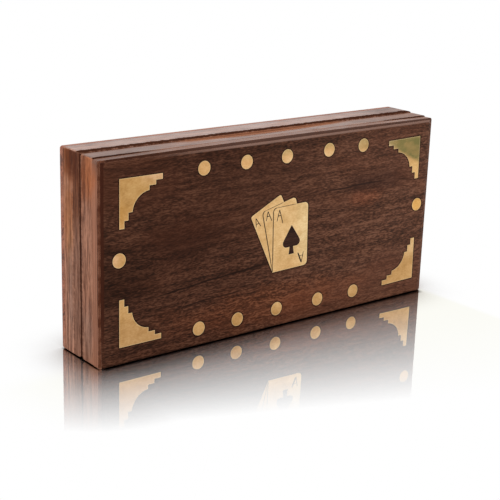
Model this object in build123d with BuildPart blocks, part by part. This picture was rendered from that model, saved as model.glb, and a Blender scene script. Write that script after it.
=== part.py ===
from build123d import *
import os
from math import copysign, radians, tan

os.makedirs("parts", exist_ok=True)

# Box for two decks of cards, standing on its hinge edge. The inlaid lid faces -Y and the
# back panel faces +Y. X runs along the length. The origin is the middle of the underside.

# Overall outline and frame
box_length = 204.0
box_height = 96.0
wall = 9.0
corner_radius = 1.2
seam_ease = 1.0
lid_top_drop = 0.5
joint_ease = 0.25
outer_share = 0.25
mitre_overrun = 5.0

# Layers from front to back
lid_panel_thickness = 5.5
lid_rail_depth = 10.0
base_rail_depth = 14.5
base_panel_thickness = 4.0
back_edge_radius = 2.0

# Lid panel: its top edge is bowed, flush with the frame in the middle and set in at both ends. Along
# the top and the ends its front has a thumbnail moulding, a flat shoulder and then a quarter ellipse
# up to the face, and along its foot only a small round
panel_set_in = 0.5
panel_bow = 0.5
panel_corner_radius = 1.2
panel_foot_radius = 0.8
top_shoulder = 0.9
top_round = 1.6
end_shoulder = 1.2
end_round = 2.0
foot_round = 1.0
moulding_depth = 0.9
cutter_margin = 1.0

# Finger bevel on the lid's top rail, a shallow lens beside the seam
finger_length = 108.0
finger_width = 6.5
finger_drop = 0.6

# Fittings inside
divider_thickness = 5.0
divider_below_seam = 1.0
divider_edge_radius = 0.8
divider_fit = 0.05
felt_thickness = 1.0
felt_gap = 0.3

# Butt hinges in the hidden edge, sunk between two bevels so that the barrels clear the table
hinge_inset = 38.0
hinge_length = 25.0
hinge_axis_height = 2.2
hinge_bevel_angle = 50.0
barrel_radius = 1.6
pin_radius = 0.8
pin_running_fit = 0.05
pin_tight_fit = 0.02
pin_end_chamfer = 0.2
outer_knuckle = 8.0
knuckle_gap = 0.3
leaf_thickness = 1.0
leaf_face_gap = 0.05
leaf_lip = 1.4
mortise_fit = 0.1
barrel_fit = 0.15

# Countersunk screws that hold the leaves
screw_spacing = 16.0
screw_head_radius = 1.45
screw_head_angle = 90.0
screw_shank_radius = 0.8
screw_length = 6.5
screw_tip_length = 1.6
screw_fit = 0.05
screw_slot_width = 0.4
screw_slot_depth = 0.3

# Brass let into the lid panel
inlay_thickness = 1.2
inlay_gap = 0.15
inlay_seat = 0.05
spade_gap = 0.05

# Stepped corner inlay: two steps up from each tip to a hollow curve
bracket_arm = 22.6
bracket_tip = 2.6
bracket_rise = 2.1
bracket_run = 3.5
bracket_throat = 9.6
bracket_inset_x = 9.5
bracket_inset_z = 9.2

# Studs along the edges
stud_radius = 3.4
studs_in_row = 5
stud_end_gap = 20.6
stud_top_inset = 10.4
stud_bottom_inset = 8.8
stud_side_inset = 9.0
stud_side_lift = 1.3
stud_side_shift = 1.3
stud_top_shift = 3.2
stud_bottom_shift = 1.6

# Fan of cards turned about one shared corner, with a spade on the front card. Each card, from
# the front one back, has its turn, width, height and corner radius
cards = ((1.5, 22.0, 32.4, 2.2), (13.7, 21.2, 32.4, 2.0), (26.0, 20.2, 33.4, 1.2))
card_pivot_x = -3.8
card_pivot_below_middle = 19.6
spade_x = 11.7
spade_foot = 7.4
spade_height = 14.6
spade_tip_radius = 0.25
lobe_radius = 2.2
lobe_offset = 3.2
lobe_height = 6.0
stem_neck_width = 2.1
stem_foot_width = 3.4
stem_flare = 0.16

# Places that follow from those sizes
box_depth = lid_panel_thickness + lid_rail_depth + base_rail_depth + base_panel_thickness
front_y = -box_depth / 2
lid_joint_y = front_y + lid_panel_thickness
seam_y = lid_joint_y + lid_rail_depth
base_joint_y = seam_y + base_rail_depth
back_y = base_joint_y + base_panel_thickness
half_length = box_length / 2
half_height = box_height / 2
inner_length = box_length - 2 * wall
inner_height = box_height - 2 * wall
lid_top = half_height - lid_top_drop
panel_top = lid_top - panel_set_in
leaf_top = wall - leaf_lip
screw_height = (hinge_axis_height + barrel_radius + barrel_fit + leaf_top) / 2
hinge_places = {"left": -half_length + hinge_inset, "right": half_length - hinge_inset}
middle_knuckle = hinge_length - 2 * (outer_knuckle + knuckle_gap)
outer_knuckle_offset = (hinge_length - outer_knuckle) / 2
along_x = (0, 90, 0)


def face_plane(y):
    # Upright plane at depth y, centred on the box and facing the viewer
    return Plane(origin=(0, y, half_height), x_dir=(1, 0, 0), z_dir=(0, -1, 0))


def finish(builder, name):
    builder.part.label = name
    export_step(builder.part, f"parts/{name}.step")


def outline_distance(edge):
    # How far the middle of an edge lies inside the box's outline
    middle = edge.center()
    return min(half_length - abs(middle.X), half_height - abs(middle.Z - half_height))


def outer_edges(face):
    return face.edges().filter_by(lambda edge: outline_distance(edge) < outer_share * wall)


def faces_along_depth(builder):
    return builder.faces().filter_by(Axis.Y).sort_by(Axis.Y)


# Frames: each half has four rails, mitred at the corners

mitre_reach = 1 + mitre_overrun / wall
bottom_left = (-half_length, -half_height)
bottom_right = (half_length, -half_height)


def mitre_end(corner):
    # Point on the line from a corner of the outline through the inner corner, a little beyond it
    x, z = corner
    inner_x = copysign(inner_length / 2, x)
    inner_z = copysign(inner_height / 2, z)
    return (x + mitre_reach * (inner_x - x), z + mitre_reach * (inner_z - z))


def rail_areas(top):
    # Areas of the four rails, between the mitres, in a frame with its top at that height
    top_left = (-half_length, top)
    top_right = (half_length, top)
    return {
        "top_rail": (top_left, mitre_end(top_left), mitre_end(top_right), top_right),
        "hinge_rail": (bottom_right, mitre_end(bottom_right), mitre_end(bottom_left), bottom_left),
        "left_end": (bottom_left, mitre_end(bottom_left), mitre_end(top_left), top_left),
        "right_end": (top_right, mitre_end(top_right), mitre_end(bottom_right), bottom_right),
    }


# Depth of the rails, the back of the rails, and the way into the wood from the seam
halves = {
    "lid": (lid_rail_depth, seam_y, -1),
    "base": (base_rail_depth, base_joint_y, 1),
}

# The lid's frame is a little lower at the top than the base's
top_drops = {"lid": lid_top_drop, "base": 0.0}

bevel_margin = 1.0
bevel_slope = tan(radians(hinge_bevel_angle))
finger_slope = finger_drop / finger_width
finger_overrun = 2.0
finger_top = box_height - lid_top_drop
finger_clear = 3.0


def hinge_bevel(inward):
    # Section of the wood planed off below the hinge axis, in Y and Z
    low_z = -bevel_margin
    return (
        (seam_y, hinge_axis_height),
        (seam_y + inward * bevel_slope * (hinge_axis_height + bevel_margin), low_z),
        (seam_y - inward * bevel_margin, low_z),
        (seam_y - inward * bevel_margin, hinge_axis_height),
    )


def screw_planes(x, inward, depth):
    # Planes of one leaf's screws, facing out of the wood
    return [
        Plane(
            origin=(x + offset, seam_y + inward * depth, screw_height),
            x_dir=(1, 0, 0),
            z_dir=(0, -inward, 0),
        )
        for offset in (-screw_spacing / 2, screw_spacing / 2)
    ]


for half, (rail_depth, rail_back_y, inward) in halves.items():
    for side, area in rail_areas(half_height - top_drops[half]).items():
        with BuildPart() as rail:
            with BuildSketch(face_plane(rail_back_y)):
                with Locations((0, -top_drops[half] / 2)):
                    RectangleRounded(box_length, box_height - top_drops[half], corner_radius)
                Rectangle(inner_length, inner_height, mode=Mode.SUBTRACT)
                Polygon(*area, align=None, mode=Mode.INTERSECT)
            extrude(amount=rail_depth)
            joint_face = faces_along_depth(rail)[0 if half == "lid" else -1]
            chamfer(outer_edges(joint_face), joint_ease)
            if side != "hinge_rail":
                seam_face = faces_along_depth(rail)[-1 if half == "lid" else 0]
                fillet(outer_edges(seam_face), seam_ease)
            if side != "top_rail":
                with BuildSketch(Plane.YZ):
                    Polygon(*hinge_bevel(inward), align=None)
                extrude(amount=half_length + bevel_margin, both=True, mode=Mode.SUBTRACT)
            if side == "hinge_rail":
                into_wood = Align.MIN if inward > 0 else Align.MAX
                for x in hinge_places.values():
                    with Locations((x, seam_y, 0)):
                        Box(
                            hinge_length + 2 * mortise_fit,
                            leaf_thickness,
                            leaf_top + mortise_fit,
                            align=(Align.CENTER, into_wood, Align.MIN),
                            mode=Mode.SUBTRACT,
                        )
                    with Locations((x, seam_y, hinge_axis_height)):
                        Cylinder(
                            barrel_radius + barrel_fit,
                            hinge_length + 2 * mortise_fit,
                            rotation=along_x,
                            mode=Mode.SUBTRACT,
                        )
                    with Locations(*screw_planes(x, inward, leaf_thickness)):
                        Hole(screw_shank_radius + screw_fit, depth=screw_length)
            if half == "lid" and side == "top_rail":
                finger_plane = Plane(
                    origin=(0, seam_y + finger_overrun, finger_top - finger_overrun * finger_slope),
                    x_dir=(1, 0, 0),
                    z_dir=(0, -1, finger_slope),
                )
                with BuildSketch(finger_plane):
                    with BuildLine():
                        ThreePointArc(
                            (-finger_length / 2, 0), (0, -finger_drop), (finger_length / 2, 0)
                        )
                        Polyline(
                            (finger_length / 2, 0),
                            (finger_length / 2, finger_clear),
                            (-finger_length / 2, finger_clear),
                            (-finger_length / 2, 0),
                        )
                    make_face()
                extrude(amount=lid_rail_depth, mode=Mode.SUBTRACT)
        finish(rail, f"{half}_{side}")


# Back panel, glued behind the base frame

with BuildPart() as base_panel:
    with BuildSketch(face_plane(back_y)):
        RectangleRounded(box_length, box_height, corner_radius)
    extrude(amount=base_panel_thickness)
    chamfer(outer_edges(faces_along_depth(base_panel)[0]), joint_ease)
    fillet(outer_edges(faces_along_depth(base_panel)[-1]), back_edge_radius)
finish(base_panel, "base_panel")


# Outlines of the brass, each grown by a clearance for its pocket


def bracket_outline(clearance):
    first_rise = bracket_tip + bracket_rise
    second_rise = first_rise + bracket_rise
    first_run = bracket_arm - bracket_run
    second_run = first_run - bracket_run
    with BuildSketch() as outline:
        with BuildLine():
            Polyline(
                (second_run, second_rise),
                (second_run, first_rise),
                (first_run, first_rise),
                (first_run, bracket_tip),
                (bracket_arm, bracket_tip),
                (bracket_arm, 0),
                (0, 0),
                (0, bracket_arm),
                (bracket_tip, bracket_arm),
                (bracket_tip, first_run),
                (first_rise, first_run),
                (first_rise, second_run),
                (second_rise, second_run),
            )
            ThreePointArc(
                (second_rise, second_run),
                (bracket_throat, bracket_throat),
                (second_run, second_rise),
            )
        make_face()
        if clearance:
            offset(amount=clearance, kind=Kind.INTERSECTION)
    return outline.sketch


def stud_outline(clearance):
    with BuildSketch() as outline:
        Circle(stud_radius + clearance)
    return outline.sketch


def card_outline(width, height, corner):
    # One card from its lower left corner, which stays sharp
    with BuildSketch() as card:
        Rectangle(width, height, align=(Align.MIN, Align.MIN))
        fillet(card.vertices().sort_by_distance((0, 0, 0))[1:], corner)
    return card.sketch


def fan_outline(clearance):
    # Cards that share their lower left corner
    with BuildSketch() as outline:
        for turn, width, height, corner in cards:
            with Locations(Location((0, 0, 0), (0, 0, turn))):
                add(card_outline(width, height, corner))
        if clearance:
            offset(amount=clearance)
    return outline.sketch


def spade_outline(clearance):
    # Hull of the tip and both lobes, on a flared stem, with its foot at the origin
    with BuildSketch() as outline:
        with BuildLine():
            CenterArc((0, spade_height - spade_tip_radius), spade_tip_radius, 0, 360)
            CenterArc((-lobe_offset, lobe_height), lobe_radius, 0, 360)
            CenterArc((lobe_offset, lobe_height), lobe_radius, 0, 360)
        make_hull()
        with BuildLine():
            right = ThreePointArc(
                (stem_neck_width / 2, lobe_height),
                (stem_neck_width / 2 + stem_flare, lobe_height / 2),
                (stem_foot_width / 2, 0),
            )
            mirror(right, about=Plane.YZ)
            Line((-stem_foot_width / 2, 0), (stem_foot_width / 2, 0))
            Line((-stem_neck_width / 2, lobe_height), (stem_neck_width / 2, lobe_height))
        make_face()
        if clearance:
            offset(amount=clearance)
    return outline.sketch


# Places of the brass on the lid's face, from its middle: outline, x, z and turn

bracket_x = half_length - bracket_inset_x
bracket_z = half_height - bracket_inset_z
stud_row = 2 * (bracket_x - bracket_arm - stud_end_gap)
stud_pitch = stud_row / (studs_in_row - 1)
stud_side_x = half_length - stud_side_inset

# Small slips of the hand in placing the brass: x and z, and for the corner pieces a turn
bracket_slip = {
    "top_left": (0.9, -0.7, 0.0),
    "top_right": (0.9, -0.5, 1.2),
    "bottom_left": (0.8, -0.9, 0.0),
    "bottom_right": (2.1, -0.9, 1.0),
}
stud_slip = {
    "top": ((-0.2, 0.0), (-0.3, 0.0), (-0.4, 0.0), (1.8, 0.2), (0.2, 0.1)),
    "bottom": ((0.0, -0.3), (-1.8, -0.3), (-2.0, 0.3), (0.2, 0.2), (0.1, 0.0)),
}
bracket_turn = {"bottom_left": 0, "bottom_right": 90, "top_right": 180, "top_left": 270}

inlays = {}
for corner, turn in bracket_turn.items():
    slip_x, slip_z, slip_turn = bracket_slip[corner]
    x = bracket_x if corner.endswith("right") else -bracket_x
    z = bracket_z if corner.startswith("top") else -bracket_z
    inlays[f"corner_inlay_{corner}"] = (bracket_outline, x + slip_x, z + slip_z, turn + slip_turn)

stud_rows = {
    "top": (stud_top_shift, half_height - stud_top_inset),
    "bottom": (stud_bottom_shift, stud_bottom_inset - half_height),
}
for row, (shift, z) in stud_rows.items():
    for number in range(studs_in_row):
        x = number * stud_pitch - stud_row / 2 + shift
        slip_x, slip_z = stud_slip[row][number]
        inlays[f"stud_{row}_{number + 1}"] = (stud_outline, x + slip_x, z + slip_z, 0)
inlays["stud_left"] = (stud_outline, stud_side_shift - stud_side_x, stud_side_lift, 0)
inlays["stud_right"] = (stud_outline, stud_side_shift + stud_side_x, stud_side_lift, 0)

front_card_turn = cards[0][0]
fan_place = Location((card_pivot_x, -card_pivot_below_middle, 0))
front_card_place = fan_place * Location((0, 0, 0), (0, 0, front_card_turn))
spade_place = front_card_place * Location((spade_x, spade_foot, 0))


# Lid panel with its moulded edge and the pockets for the brass. The moulding is cut along each edge
# in turn: a plane at the middle of the edge, with x into the panel and y towards its back, and the
# widths of the shoulder and the round

top_edge = Plane(origin=(0, front_y, half_height + panel_top), x_dir=(0, 0, -1), z_dir=(1, 0, 0))
foot_edge = Plane(origin=(0, front_y, 0), x_dir=(0, 0, 1), z_dir=(-1, 0, 0))
left_edge = Plane(origin=(-half_length, front_y, half_height), x_dir=(1, 0, 0), z_dir=(0, 0, 1))
right_edge = Plane(origin=(half_length, front_y, half_height), x_dir=(-1, 0, 0), z_dir=(0, 0, -1))
moulded_edges = (
    (top_edge, top_shoulder, top_round),
    (foot_edge, 0, foot_round),
    (left_edge, end_shoulder, end_round),
    (right_edge, end_shoulder, end_round),
)

with BuildPart() as lid_panel:
    with BuildSketch(face_plane(lid_joint_y)):
        with BuildLine():
            left_corner = (-half_length, panel_top)
            right_corner = (half_length, panel_top)
            ThreePointArc(left_corner, (0, panel_top + panel_bow), right_corner)
            Polyline(right_corner, bottom_right, bottom_left, left_corner)
        make_face()
        fillet(vertices().group_by(Axis.Y)[-1], panel_corner_radius)
        fillet(vertices().group_by(Axis.Y)[0], panel_foot_radius)
    extrude(amount=lid_panel_thickness)
    chamfer(outer_edges(faces_along_depth(lid_panel)[-1]), joint_ease)
    for edge_plane, shoulder, width in moulded_edges:
        with BuildSketch(edge_plane):
            with BuildLine():
                EllipticalCenterArc(
                    (shoulder + width, moulding_depth),
                    width,
                    moulding_depth,
                    start_angle=180,
                    arc_size=90,
                )
                Polyline(
                    (shoulder + width, 0),
                    (shoulder + width, -cutter_margin),
                    (-cutter_margin, -cutter_margin),
                    (-cutter_margin, moulding_depth),
                    (shoulder, moulding_depth),
                )
            make_face()
        extrude(amount=half_length + cutter_margin, both=True, mode=Mode.SUBTRACT)
    with BuildSketch(face_plane(front_y)):
        for outline, x, z, turn in inlays.values():
            with Locations(Location((x, z, 0), (0, 0, turn))):
                add(outline(inlay_gap))
        with Locations(fan_place):
            add(fan_outline(inlay_gap))
    extrude(amount=-(inlay_thickness + inlay_seat), mode=Mode.SUBTRACT)
finish(lid_panel, "lid_panel")

for name, (outline, x, z, turn) in inlays.items():
    with BuildPart() as inlay:
        with BuildSketch(face_plane(front_y)):
            with Locations(Location((x, z, 0), (0, 0, turn))):
                add(outline(0))
        extrude(amount=-inlay_thickness)
    finish(inlay, name)

with BuildPart() as card_fan_inlay:
    with BuildSketch(face_plane(front_y)):
        with Locations(fan_place):
            add(fan_outline(0))
        with Locations(spade_place):
            add(spade_outline(spade_gap), mode=Mode.SUBTRACT)
    extrude(amount=-inlay_thickness)
finish(card_fan_inlay, "card_fan_inlay")

with BuildPart() as spade_infill:
    with BuildSketch(face_plane(front_y)):
        with Locations(spade_place):
            add(spade_outline(0))
    extrude(amount=-inlay_thickness)
finish(spade_infill, "spade_infill")


# Divider and felt linings

with BuildPart() as divider:
    with BuildSketch(face_plane(base_joint_y)):
        Rectangle(divider_thickness, inner_height - 2 * divider_fit)
    extrude(amount=base_rail_depth - divider_below_seam)
    front_edges = faces_along_depth(divider)[0].edges().filter_by(Axis.Z)
    fillet(front_edges, divider_edge_radius)
finish(divider, "divider")

bay_length = (inner_length - divider_thickness) / 2
bay_centre = (inner_length + divider_thickness) / 4
felt_height = inner_height - 2 * felt_gap
linings = {
    "bay_felt_left": (-bay_centre, bay_length, base_joint_y),
    "bay_felt_right": (bay_centre, bay_length, base_joint_y),
    "lid_felt": (0, inner_length, lid_joint_y + felt_thickness),
}
for name, (x, length, felt_back_y) in linings.items():
    with BuildPart() as felt:
        with BuildSketch(face_plane(felt_back_y)):
            with Locations((x, 0)):
                Rectangle(length - 2 * felt_gap, felt_height)
        extrude(amount=felt_thickness)
    finish(felt, name)


# Hinges: the base leaf carries the outer knuckles and the pin, the lid leaf the middle one

knuckles = {
    "base": ((-outer_knuckle_offset, outer_knuckle), (outer_knuckle_offset, outer_knuckle)),
    "lid": ((0, middle_knuckle),),
}
pin_fits = {"base": pin_tight_fit, "lid": pin_running_fit}

for place, hinge_x in hinge_places.items():
    for half, (_, _, inward) in halves.items():
        other = "lid" if half == "base" else "base"
        face_y = seam_y + inward * leaf_face_gap
        plate_align = (Align.MIN if inward > 0 else Align.MAX, Align.MIN)
        with BuildPart() as leaf:
            with BuildSketch(Plane.YZ.offset(hinge_x - hinge_length / 2)):
                with Locations((face_y, hinge_axis_height)):
                    Rectangle(
                        leaf_thickness - leaf_face_gap,
                        leaf_top - hinge_axis_height,
                        align=plate_align,
                    )
            extrude(amount=hinge_length)
            for offset_x, length in knuckles[other]:
                with Locations((hinge_x + offset_x, seam_y, hinge_axis_height)):
                    Cylinder(
                        barrel_radius + barrel_fit,
                        length + 2 * knuckle_gap,
                        rotation=along_x,
                        mode=Mode.SUBTRACT,
                    )
            for offset_x, length in knuckles[half]:
                with Locations((hinge_x + offset_x, seam_y, hinge_axis_height)):
                    Cylinder(barrel_radius, length, rotation=along_x)
            with Locations((hinge_x, seam_y, hinge_axis_height)):
                Cylinder(
                    pin_radius + pin_fits[half],
                    hinge_length + 2 * knuckle_gap,
                    rotation=along_x,
                    mode=Mode.SUBTRACT,
                )
            with Locations(*screw_planes(hinge_x, inward, leaf_face_gap)):
                CounterSinkHole(
                    screw_shank_radius + screw_fit,
                    screw_head_radius + screw_fit,
                    depth=2 * leaf_thickness,
                    counter_sink_angle=screw_head_angle,
                )
        finish(leaf, f"hinge_{place}_{half}_leaf")
    with BuildPart() as hinge_pin:
        with Locations((hinge_x, seam_y, hinge_axis_height)):
            Cylinder(pin_radius, hinge_length, rotation=along_x)
        chamfer(hinge_pin.edges().filter_by(GeomType.CIRCLE), pin_end_chamfer)
    finish(hinge_pin, f"hinge_{place}_pin")

head_height = (screw_head_radius - screw_shank_radius) / tan(radians(screw_head_angle / 2))
shank_length = screw_length - head_height - screw_tip_length
head_align = (Align.CENTER, Align.CENTER, Align.MAX)
for half, (_, _, inward) in halves.items():
    with BuildPart() as screws:
        for hinge_x in hinge_places.values():
            for head_plane in screw_planes(hinge_x, inward, leaf_face_gap):
                with Locations(head_plane):
                    Cone(screw_shank_radius, screw_head_radius, head_height, align=head_align)
                with Locations(head_plane.offset(-head_height)):
                    Cylinder(screw_shank_radius, shank_length, align=head_align)
                with Locations(head_plane.offset(-head_height - shank_length)):
                    Cone(0, screw_shank_radius, screw_tip_length, align=head_align)
                with Locations(head_plane):
                    Box(
                        2 * screw_head_radius,
                        screw_slot_width,
                        screw_slot_depth,
                        align=head_align,
                        mode=Mode.SUBTRACT,
                    )
    finish(screws, f"{half}_hinge_screws")
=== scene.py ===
import math

import bpy
import numpy as np
from mathutils import Matrix, Vector


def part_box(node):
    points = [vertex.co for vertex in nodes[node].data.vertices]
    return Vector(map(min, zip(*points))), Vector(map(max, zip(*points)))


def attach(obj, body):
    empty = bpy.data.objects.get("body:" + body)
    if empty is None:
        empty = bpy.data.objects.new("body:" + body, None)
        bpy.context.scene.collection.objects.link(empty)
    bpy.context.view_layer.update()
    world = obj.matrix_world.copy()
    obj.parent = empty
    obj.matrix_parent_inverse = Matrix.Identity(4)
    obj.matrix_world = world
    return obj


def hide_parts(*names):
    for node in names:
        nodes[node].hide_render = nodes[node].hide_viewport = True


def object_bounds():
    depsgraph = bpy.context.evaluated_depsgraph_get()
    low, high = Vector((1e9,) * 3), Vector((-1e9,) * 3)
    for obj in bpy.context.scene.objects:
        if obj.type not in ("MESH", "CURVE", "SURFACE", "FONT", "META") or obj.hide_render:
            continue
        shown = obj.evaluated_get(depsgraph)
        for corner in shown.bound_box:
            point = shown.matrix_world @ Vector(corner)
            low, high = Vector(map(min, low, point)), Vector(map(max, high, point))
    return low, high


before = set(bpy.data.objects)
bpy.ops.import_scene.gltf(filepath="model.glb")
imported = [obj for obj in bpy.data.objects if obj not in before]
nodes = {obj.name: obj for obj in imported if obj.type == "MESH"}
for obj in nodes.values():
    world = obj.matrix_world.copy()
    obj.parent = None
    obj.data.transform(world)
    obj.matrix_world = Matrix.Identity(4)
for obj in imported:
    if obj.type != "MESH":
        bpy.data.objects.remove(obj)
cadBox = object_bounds()
mm = 0.001
print("frame loaded:", len(nodes), "nodes")


def addObject(name, data):
    thing = bpy.data.objects.new(name, data)
    bpy.context.scene.collection.objects.link(thing)
    return thing


# Helpers for node trees

origin = (0, 0, 0)
noiseSpan = (0.3, 0.7)   # where most of a noise's values lie
noises = {   # stretch per mm along each axis, detail, roughness and twist
    "grainBend": ((0.011, 0.03, 0.03), 2, 0.5, 0.0),
    "grainRipple": ((0.07, 0.11, 0.11), 1, 0.5, 0.0),
    "grainStreaks": ((0.05, 0.6, 0.6), 3, 0.6, 0.0),
    "grainDashes": ((0.15, 1.1, 1.1), 2, 0.6, 0.7),
    "grainSpecks": ((0.5, 2.0, 2.0), 1, 0.5, 0.0),
    "grainPores": ((0.2, 1.6, 1.6), 1, 0.5, 0.5),
    "grainFigure": ((0.012, 0.035, 0.035), 3, 0.5, 0.0),
    "patchEdge": ((0.07, 0.3, 0.12), 3, 0.5, 0.0),
    "veinWander": ((0.06, 0.02, 0.02), 2, 0.5, 0.0),
    "wornPatches": ((0.25, 0.25, 0.25), 3, 0.6, 0.0),
    "smears": ((0.06, 0.06, 0.11), 4, 0.6, 0.0),
    "hairlines": ((0.09, 5.0, 5.0), 2, 0.6, 0.0),
    "jointBandEdge": ((0.4, 0.05, 0.4), 3, 0.7, 0.0),
    "rimDrift": ((0.02, 0.02, 0.07), 3, 0.5, 0.0),
    "sideStreaks": ((0.03, 0.8, 0.02), 3, 0.6, 0.0),
    "mouldingShadeEdge": ((0.08, 0.1, 0.08), 3, 0.5, 0.0),
    "brassMottle": ((0.1, 0.1, 0.1), 4, 0.6, 0.0),
    "brassSpots": ((0.32, 0.32, 0.32), 2, 0.5, 0.0),
    "brassBrushing": ((0.8, 1.6, 1.6), 2, 0.6, 0.0),
    "reflectionEdge": ((0.1, 0.1, 0.1), 2, 0.5, 0.0),
    "reflectionPatches": ((0.13, 0.1, 0.2), 3, 0.6, 0.0),
    "brownSpots": ((0.3, 0.3, 0.3), 4, 0.65, 0.0),
    "feltMat": ((1.5, 1.5, 1.5), 4, 0.75, 0.0),
    "feltHairs": ((0.5, 1.0, 2.2), 3, 0.7, 1.5),
    "feltWear": ((0.05, 0.05, 0.05), 3, 0.5, 0.0),
    "waxThinning": ((0.9, 0.9, 0.9), 3, 0.6, 0.0),
}


def paint(red, green, blue):
    # A colour as a screen shows it, 0 to 255, turned into Blender's linear values
    share = np.array([red, green, blue]) / 255
    linear = np.where(share <= 0.04045, share / 12.92, ((share + 0.055) / 1.055) ** 2.4)
    return (*linear.tolist(), 1.0)


def feed(tree, node, inputs):
    # Each input takes a plain value or another node's socket
    for key, value in inputs.items():
        if isinstance(value, bpy.types.NodeSocket):
            tree.links.new(value, node.inputs[key])
        else:
            node.inputs[key].default_value = value


def addNode(tree, kind, inputs=None, **settings):
    node = tree.nodes.new("ShaderNode" + kind)
    for key, value in settings.items():
        setattr(node, key, value)
    feed(tree, node, inputs or {})
    return node


def calc(tree, operation, first, second=0.0, third=0.0, clamp=False):
    values = {0: first, 1: second, 2: third}
    return addNode(tree, "Math", values, operation=operation, use_clamp=clamp).outputs[0]


def times(tree, first, *others):
    for other in others:
        first = calc(tree, "MULTIPLY", first, other)
    return first


def largest(tree, first, *others):
    for other in others:
        first = calc(tree, "MAXIMUM", first, other)
    return first


def absolute(tree, value):
    return calc(tree, "ABSOLUTE", value)


def vectorCalc(tree, operation, first, second):
    return addNode(tree, "VectorMath", {0: first, 1: second}, operation=operation).outputs[0]


def axesOf(tree, vector):
    return addNode(tree, "SeparateXYZ", {0: vector}).outputs


def spread(tree, value, low, high, newLow=0.0, newHigh=1.0, smooth=True):
    # Carries low..high over to newLow..newHigh, held at both ends
    kind = "SMOOTHSTEP" if smooth else "LINEAR"
    places = {"Value": value, "From Min": low, "From Max": high, "To Min": newLow, "To Max": newHigh}
    return addNode(tree, "MapRange", places, interpolation_type=kind).outputs[0]


def fade(tree, value, low, high):
    # One up to low, then smoothly down to nought at high
    return spread(tree, value, low, high, 1.0, 0.0)


def mixColour(tree, factor, first, second, blend="MIX"):
    node = addNode(tree, "Mix", {0: factor, 6: first, 7: second}, data_type="RGBA", blend_type=blend)
    return node.outputs[2]


def tint(tree, mask, colour, shade):
    # Multiplies the colour by a shade where the mask is
    return mixColour(tree, mask, colour, shade, "MULTIPLY")


def mixValue(tree, factor, first, second):
    return addNode(tree, "Mix", {0: factor, 2: first, 3: second}, data_type="FLOAT").outputs[0]


def noise(tree, vector, kind):
    # Noise whose cells are one over stretch long on each axis
    stretch, detail, roughness, twist = noises[kind]
    scaled = vectorCalc(tree, "MULTIPLY", vector, stretch)
    levels = {"Scale": 1.0, "Detail": detail, "Roughness": roughness, "Distortion": twist}
    return addNode(tree, "TexNoise", {"Vector": scaled, **levels}).outputs["Fac"]


def sway(tree, vector, kind):
    # Noise about nought, half a unit each way
    return calc(tree, "SUBTRACT", noise(tree, vector, kind), 0.5)


def noiseSum(tree, vector, shares):
    # Several noises, each times its share
    total = 0.0
    for kind, share in shares.items():
        total = calc(tree, "MULTIPLY_ADD", noise(tree, vector, kind), share, total)
    return total


def ramp(tree, factor, stops):
    # Colour ramp through (place, colour) stops
    node = addNode(tree, "ValToRGB", {"Fac": factor})
    elements = node.color_ramp.elements
    while len(elements) < len(stops):
        elements.new(0.5)
    for element, (place, colour) in zip(elements, stops):
        element.position = place
        element.color = colour
    return node.outputs["Color"]


def newGroup(name, inputs, outputs):
    # Empty shader group with named sockets: a tuple as default makes a vector, a number a value
    tree = bpy.data.node_groups.new(name, "ShaderNodeTree")
    for label, value in inputs.items():
        kind = "NodeSocketVector" if isinstance(value, tuple) else "NodeSocketFloat"
        tree.interface.new_socket(label, in_out="INPUT", socket_type=kind).default_value = value
    for label in outputs:
        tree.interface.new_socket(label, in_out="OUTPUT", socket_type="NodeSocketFloat")
    source = tree.nodes.new("NodeGroupInput").outputs
    sink = tree.nodes.new("NodeGroupOutput")
    return tree, source, sink


def useGroup(tree, group, **inputs):
    node = tree.nodes.new("ShaderNodeGroup")
    node.node_tree = group
    feed(tree, node, inputs)
    return node.outputs


def newMaterial(name, **plain):
    # Material with a Principled shader; plain values go on the shader's own sockets
    material = bpy.data.materials.new(name)
    material.use_nodes = True
    tree = material.node_tree
    shader = tree.nodes["Principled BSDF"]
    feed(tree, shader, plain)
    return material, tree, shader


def millimetres(tree, turn=origin, shift=origin):
    # Object coordinates in millimetres, turned and then shifted
    place = addNode(tree, "TexCoord").outputs["Object"]
    values = {"Vector": place, "Scale": (1 / mm,) * 3, "Rotation": turn, "Location": shift}
    return addNode(tree, "Mapping", values).outputs[0]


# Shared effects, as shader groups

grainShape = {
    "swing": 2.0,   # doubles noise that sways half a unit each way
    "rings": {"Scale": 1.0, "Detail": 3, "Roughness": 0.55},
    "pores": (0.585, 0.70),
    "poresInBands": (0.2, 0.8, 1.0, 0.4),   # most in dark bands
    "dashHeight": 0.5,
}


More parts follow.
